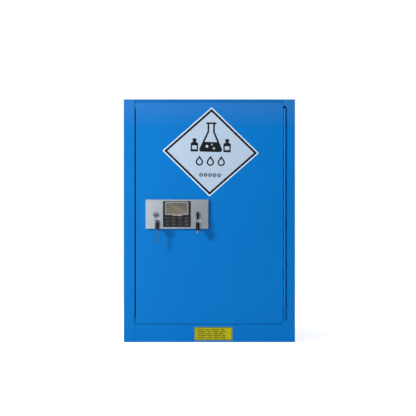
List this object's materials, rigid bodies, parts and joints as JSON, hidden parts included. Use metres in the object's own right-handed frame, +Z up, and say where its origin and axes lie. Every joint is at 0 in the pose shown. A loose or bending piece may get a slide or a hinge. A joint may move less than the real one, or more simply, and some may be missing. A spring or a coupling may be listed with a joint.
{
  "type": "reagent safety cabinet",
  "caption": "Free-standing double-wall steel reagent cabinet with one hinged door, two key locks, a keypad, a shelf and a sump tray.",
  "frame": {"origin": "middle of the base's underside, on the floor", "axes": "+Z up, -Y out of the door's front, +X to the right seen from the front"},
  "size_m": [0.628, 0.5272, 0.89],
  "materials": {
    "blue_paint": "semi-gloss powder coat, fine texture",
    "liner_paint": "semi-gloss powder coat",
    "shelf_steel": "galvanised grey",
    "steel": "brushed",
    "zinc_steel": "zinc plated",
    "chrome": "polished",
    "brass": "turned",
    "gasket_rubber": "matt",
    "sign_sheet": "printed vinyl",
    "label_sheet": "printed vinyl",
    "black_plastic": "moulded, fine texture",
    "key_plastic": "moulded",
    "silver_plastic": "metallic paint",
    "display_glass": "tinted window",
    "battery_plastic": "moulded"
  },
  "bodies": {
    "cabinet": {"left_side_panel": "blue_paint", "right_side_panel": "blue_paint", "top_panel": "blue_paint", "base_panel": "blue_paint", "back_panel": "blue_paint", "left_stile": "blue_paint", "right_stile": "blue_paint", "top_rail": "blue_paint", "bottom_rail": "blue_paint", "liner_left_sheet": "liner_paint", "liner_right_sheet": "liner_paint", "liner_top_sheet": "liner_paint", "liner_floor_sheet": "liner_paint", "liner_back_sheet": "liner_paint", "flame_arrestors": "zinc_steel", "sump_tray": "liner_paint", "shelf": "shelf_steel", "shelf_standards": "zinc_steel", "shelf_clips": "zinc_steel", "vent_tubes": "zinc_steel", "vent_caps": "brass", "ground_stud": "brass", "strike_plates": "zinc_steel", "door_gasket": "gasket_rubber", "info_label": "label_sheet", "hinge_frame_leaf": "blue_paint", "hinge_pin": "zinc_steel"},
    "door": {"door_skin": "blue_paint", "door_inner_pan": "blue_paint", "hinge_door_leaf": "blue_paint", "hazard_placard": "sign_sheet", "lock_faceplate": "steel", "keypad_housing": "black_plastic", "lcd_bezel": "silver_plastic", "lcd_screen": "display_glass", "lock_barrels": "chrome", "lock_case": "zinc_steel", "solenoid_body": "zinc_steel", "battery_box": "battery_plastic"},
    "left_lock": {"left_lock_plug": "chrome", "left_cam": "zinc_steel", "left_key": "steel"},
    "right_lock": {"right_lock_plug": "chrome", "right_cam": "zinc_steel", "right_key": "black_plastic"},
    "left_ring": {"left_key_ring": "chrome"},
    "left_spare": {"left_spare_key": "black_plastic"},
    "right_ring": {"right_key_ring": "chrome"},
    "right_spare": {"right_spare_key": "black_plastic"},
    "bolt": {"deadbolt": "steel"},
    "blocking_pin": {"solenoid_pin": "steel"},
    "rod_up": {"upper_rod": "zinc_steel"},
    "rod_down": {"lower_rod": "zinc_steel"},
    "key_1": {"pad_key_1": "key_plastic"},
    "key_2": {"pad_key_2": "key_plastic"},
    "key_3": {"pad_key_3": "key_plastic"},
    "key_4": {"pad_key_4": "key_plastic"},
    "key_5": {"pad_key_5": "key_plastic"},
    "key_6": {"pad_key_6": "key_plastic"},
    "key_7": {"pad_key_7": "key_plastic"},
    "key_8": {"pad_key_8": "key_plastic"},
    "key_9": {"pad_key_9": "key_plastic"},
    "key_10": {"pad_key_10": "key_plastic"},
    "key_11": {"pad_key_11": "key_plastic"},
    "key_12": {"pad_key_12": "key_plastic"}
  },
  "joints": [
    {"name": "door_hinge", "type": "hinge", "parent": "cabinet", "child": "door", "pos_m": [0.2765, -0.231, 0.4727], "axis": [0, 0, 1], "range_deg": [0, 180]},
    {"name": "left_lock_turn", "type": "hinge", "parent": "door", "child": "left_lock", "pos_m": [-0.196, -0.24, 0.466], "axis": [0, 1, 0], "range_deg": [0, 90]},
    {"name": "bolt_slide", "type": "slide", "parent": "door", "child": "bolt", "axis": [-1, 0, 0], "range_m": [0, 0.01419]},
    {"name": "blocking_pin_slide", "type": "slide", "parent": "door", "child": "blocking_pin", "axis": [0, 0, -1], "range_m": [0, 0.004], "stiffness_N_per_m": 60, "springref_m": -0.002},
    {"name": "right_lock_turn", "type": "hinge", "parent": "door", "child": "right_lock", "pos_m": [-0.0435, -0.24, 0.466], "axis": [0, 1, 0], "range_deg": [0, 90]},
    {"name": "upper_rod_slide", "type": "slide", "parent": "door", "child": "rod_up", "axis": [0, 0, 1], "range_m": [0, 0.01136]},
    {"name": "lower_rod_slide", "type": "slide", "parent": "door", "child": "rod_down", "axis": [0, 0, -1], "range_m": [0, 0.01136]},
    {"name": "left_ring_swing", "type": "hinge", "parent": "left_lock", "child": "left_ring", "pos_m": [-0.1911, -0.267, 0.4673], "axis": [-1, 0, 0], "range_deg": [-12, 15]},
    {"name": "left_spare_swing", "type": "hinge", "parent": "left_ring", "child": "left_spare", "pos_m": [-0.1911, -0.267, 0.4446], "axis": [-1, 0, 0], "range_deg": [-6, 40]},
    {"name": "right_ring_swing", "type": "hinge", "parent": "right_lock", "child": "right_ring", "pos_m": [-0.0435, -0.265, 0.4616], "axis": [-1, 0, 0], "range_deg": [-12, 60]},
    {"name": "right_spare_swing", "type": "hinge", "parent": "right_ring", "child": "right_spare", "pos_m": [-0.0435, -0.265, 0.4366], "axis": [-1, 0, 0], "range_deg": [-6, 40]},
    {"name": "key_1_press", "type": "slide", "parent": "door", "child": "key_1", "axis": [0, 1, 0], "range_m": [0, 0.0008], "stiffness_N_per_m": 500, "springref_m": -0.0003},
    {"name": "key_2_press", "type": "slide", "parent": "door", "child": "key_2", "axis": [0, 1, 0], "range_m": [0, 0.0008], "stiffness_N_per_m": 500, "springref_m": -0.0003},
    {"name": "key_3_press", "type": "slide", "parent": "door", "child": "key_3", "axis": [0, 1, 0], "range_m": [0, 0.0008], "stiffness_N_per_m": 500, "springref_m": -0.0003},
    {"name": "key_4_press", "type": "slide", "parent": "door", "child": "key_4", "axis": [0, 1, 0], "range_m": [0, 0.0008], "stiffness_N_per_m": 500, "springref_m": -0.0003},
    {"name": "key_5_press", "type": "slide", "parent": "door", "child": "key_5", "axis": [0, 1, 0], "range_m": [0, 0.0008], "stiffness_N_per_m": 500, "springref_m": -0.0003},
    {"name": "key_6_press", "type": "slide", "parent": "door", "child": "key_6", "axis": [0, 1, 0], "range_m": [0, 0.0008], "stiffness_N_per_m": 500, "springref_m": -0.0003},
    {"name": "key_7_press", "type": "slide", "parent": "door", "child": "key_7", "axis": [0, 1, 0], "range_m": [0, 0.0008], "stiffness_N_per_m": 500, "springref_m": -0.0003},
    {"name": "key_8_press", "type": "slide", "parent": "door", "child": "key_8", "axis": [0, 1, 0], "range_m": [0, 0.0008], "stiffness_N_per_m": 500, "springref_m": -0.0003},
    {"name": "key_9_press", "type": "slide", "parent": "door", "child": "key_9", "axis": [0, 1, 0], "range_m": [0, 0.0008], "stiffness_N_per_m": 500, "springref_m": -0.0003},
    {"name": "key_10_press", "type": "slide", "parent": "door", "child": "key_10", "axis": [0, 1, 0], "range_m": [0, 0.0008], "stiffness_N_per_m": 500, "springref_m": -0.0003},
    {"name": "key_11_press", "type": "slide", "parent": "door", "child": "key_11", "axis": [0, 1, 0], "range_m": [0, 0.0008], "stiffness_N_per_m": 500, "springref_m": -0.0003},
    {"name": "key_12_press", "type": "slide", "parent": "door", "child": "key_12", "axis": [0, 1, 0], "range_m": [0, 0.0008], "stiffness_N_per_m": 500, "springref_m": -0.0003}
  ],
  "couplings": [
    {"joint": "bolt_slide", "follows": "left_lock_turn", "m_per_rad": 0.0090032},
    {"joint": "upper_rod_slide", "follows": "right_lock_turn", "m_per_rad": 0.0072025},
    {"joint": "lower_rod_slide", "follows": "right_lock_turn", "m_per_rad": 0.0072025}
  ]
}
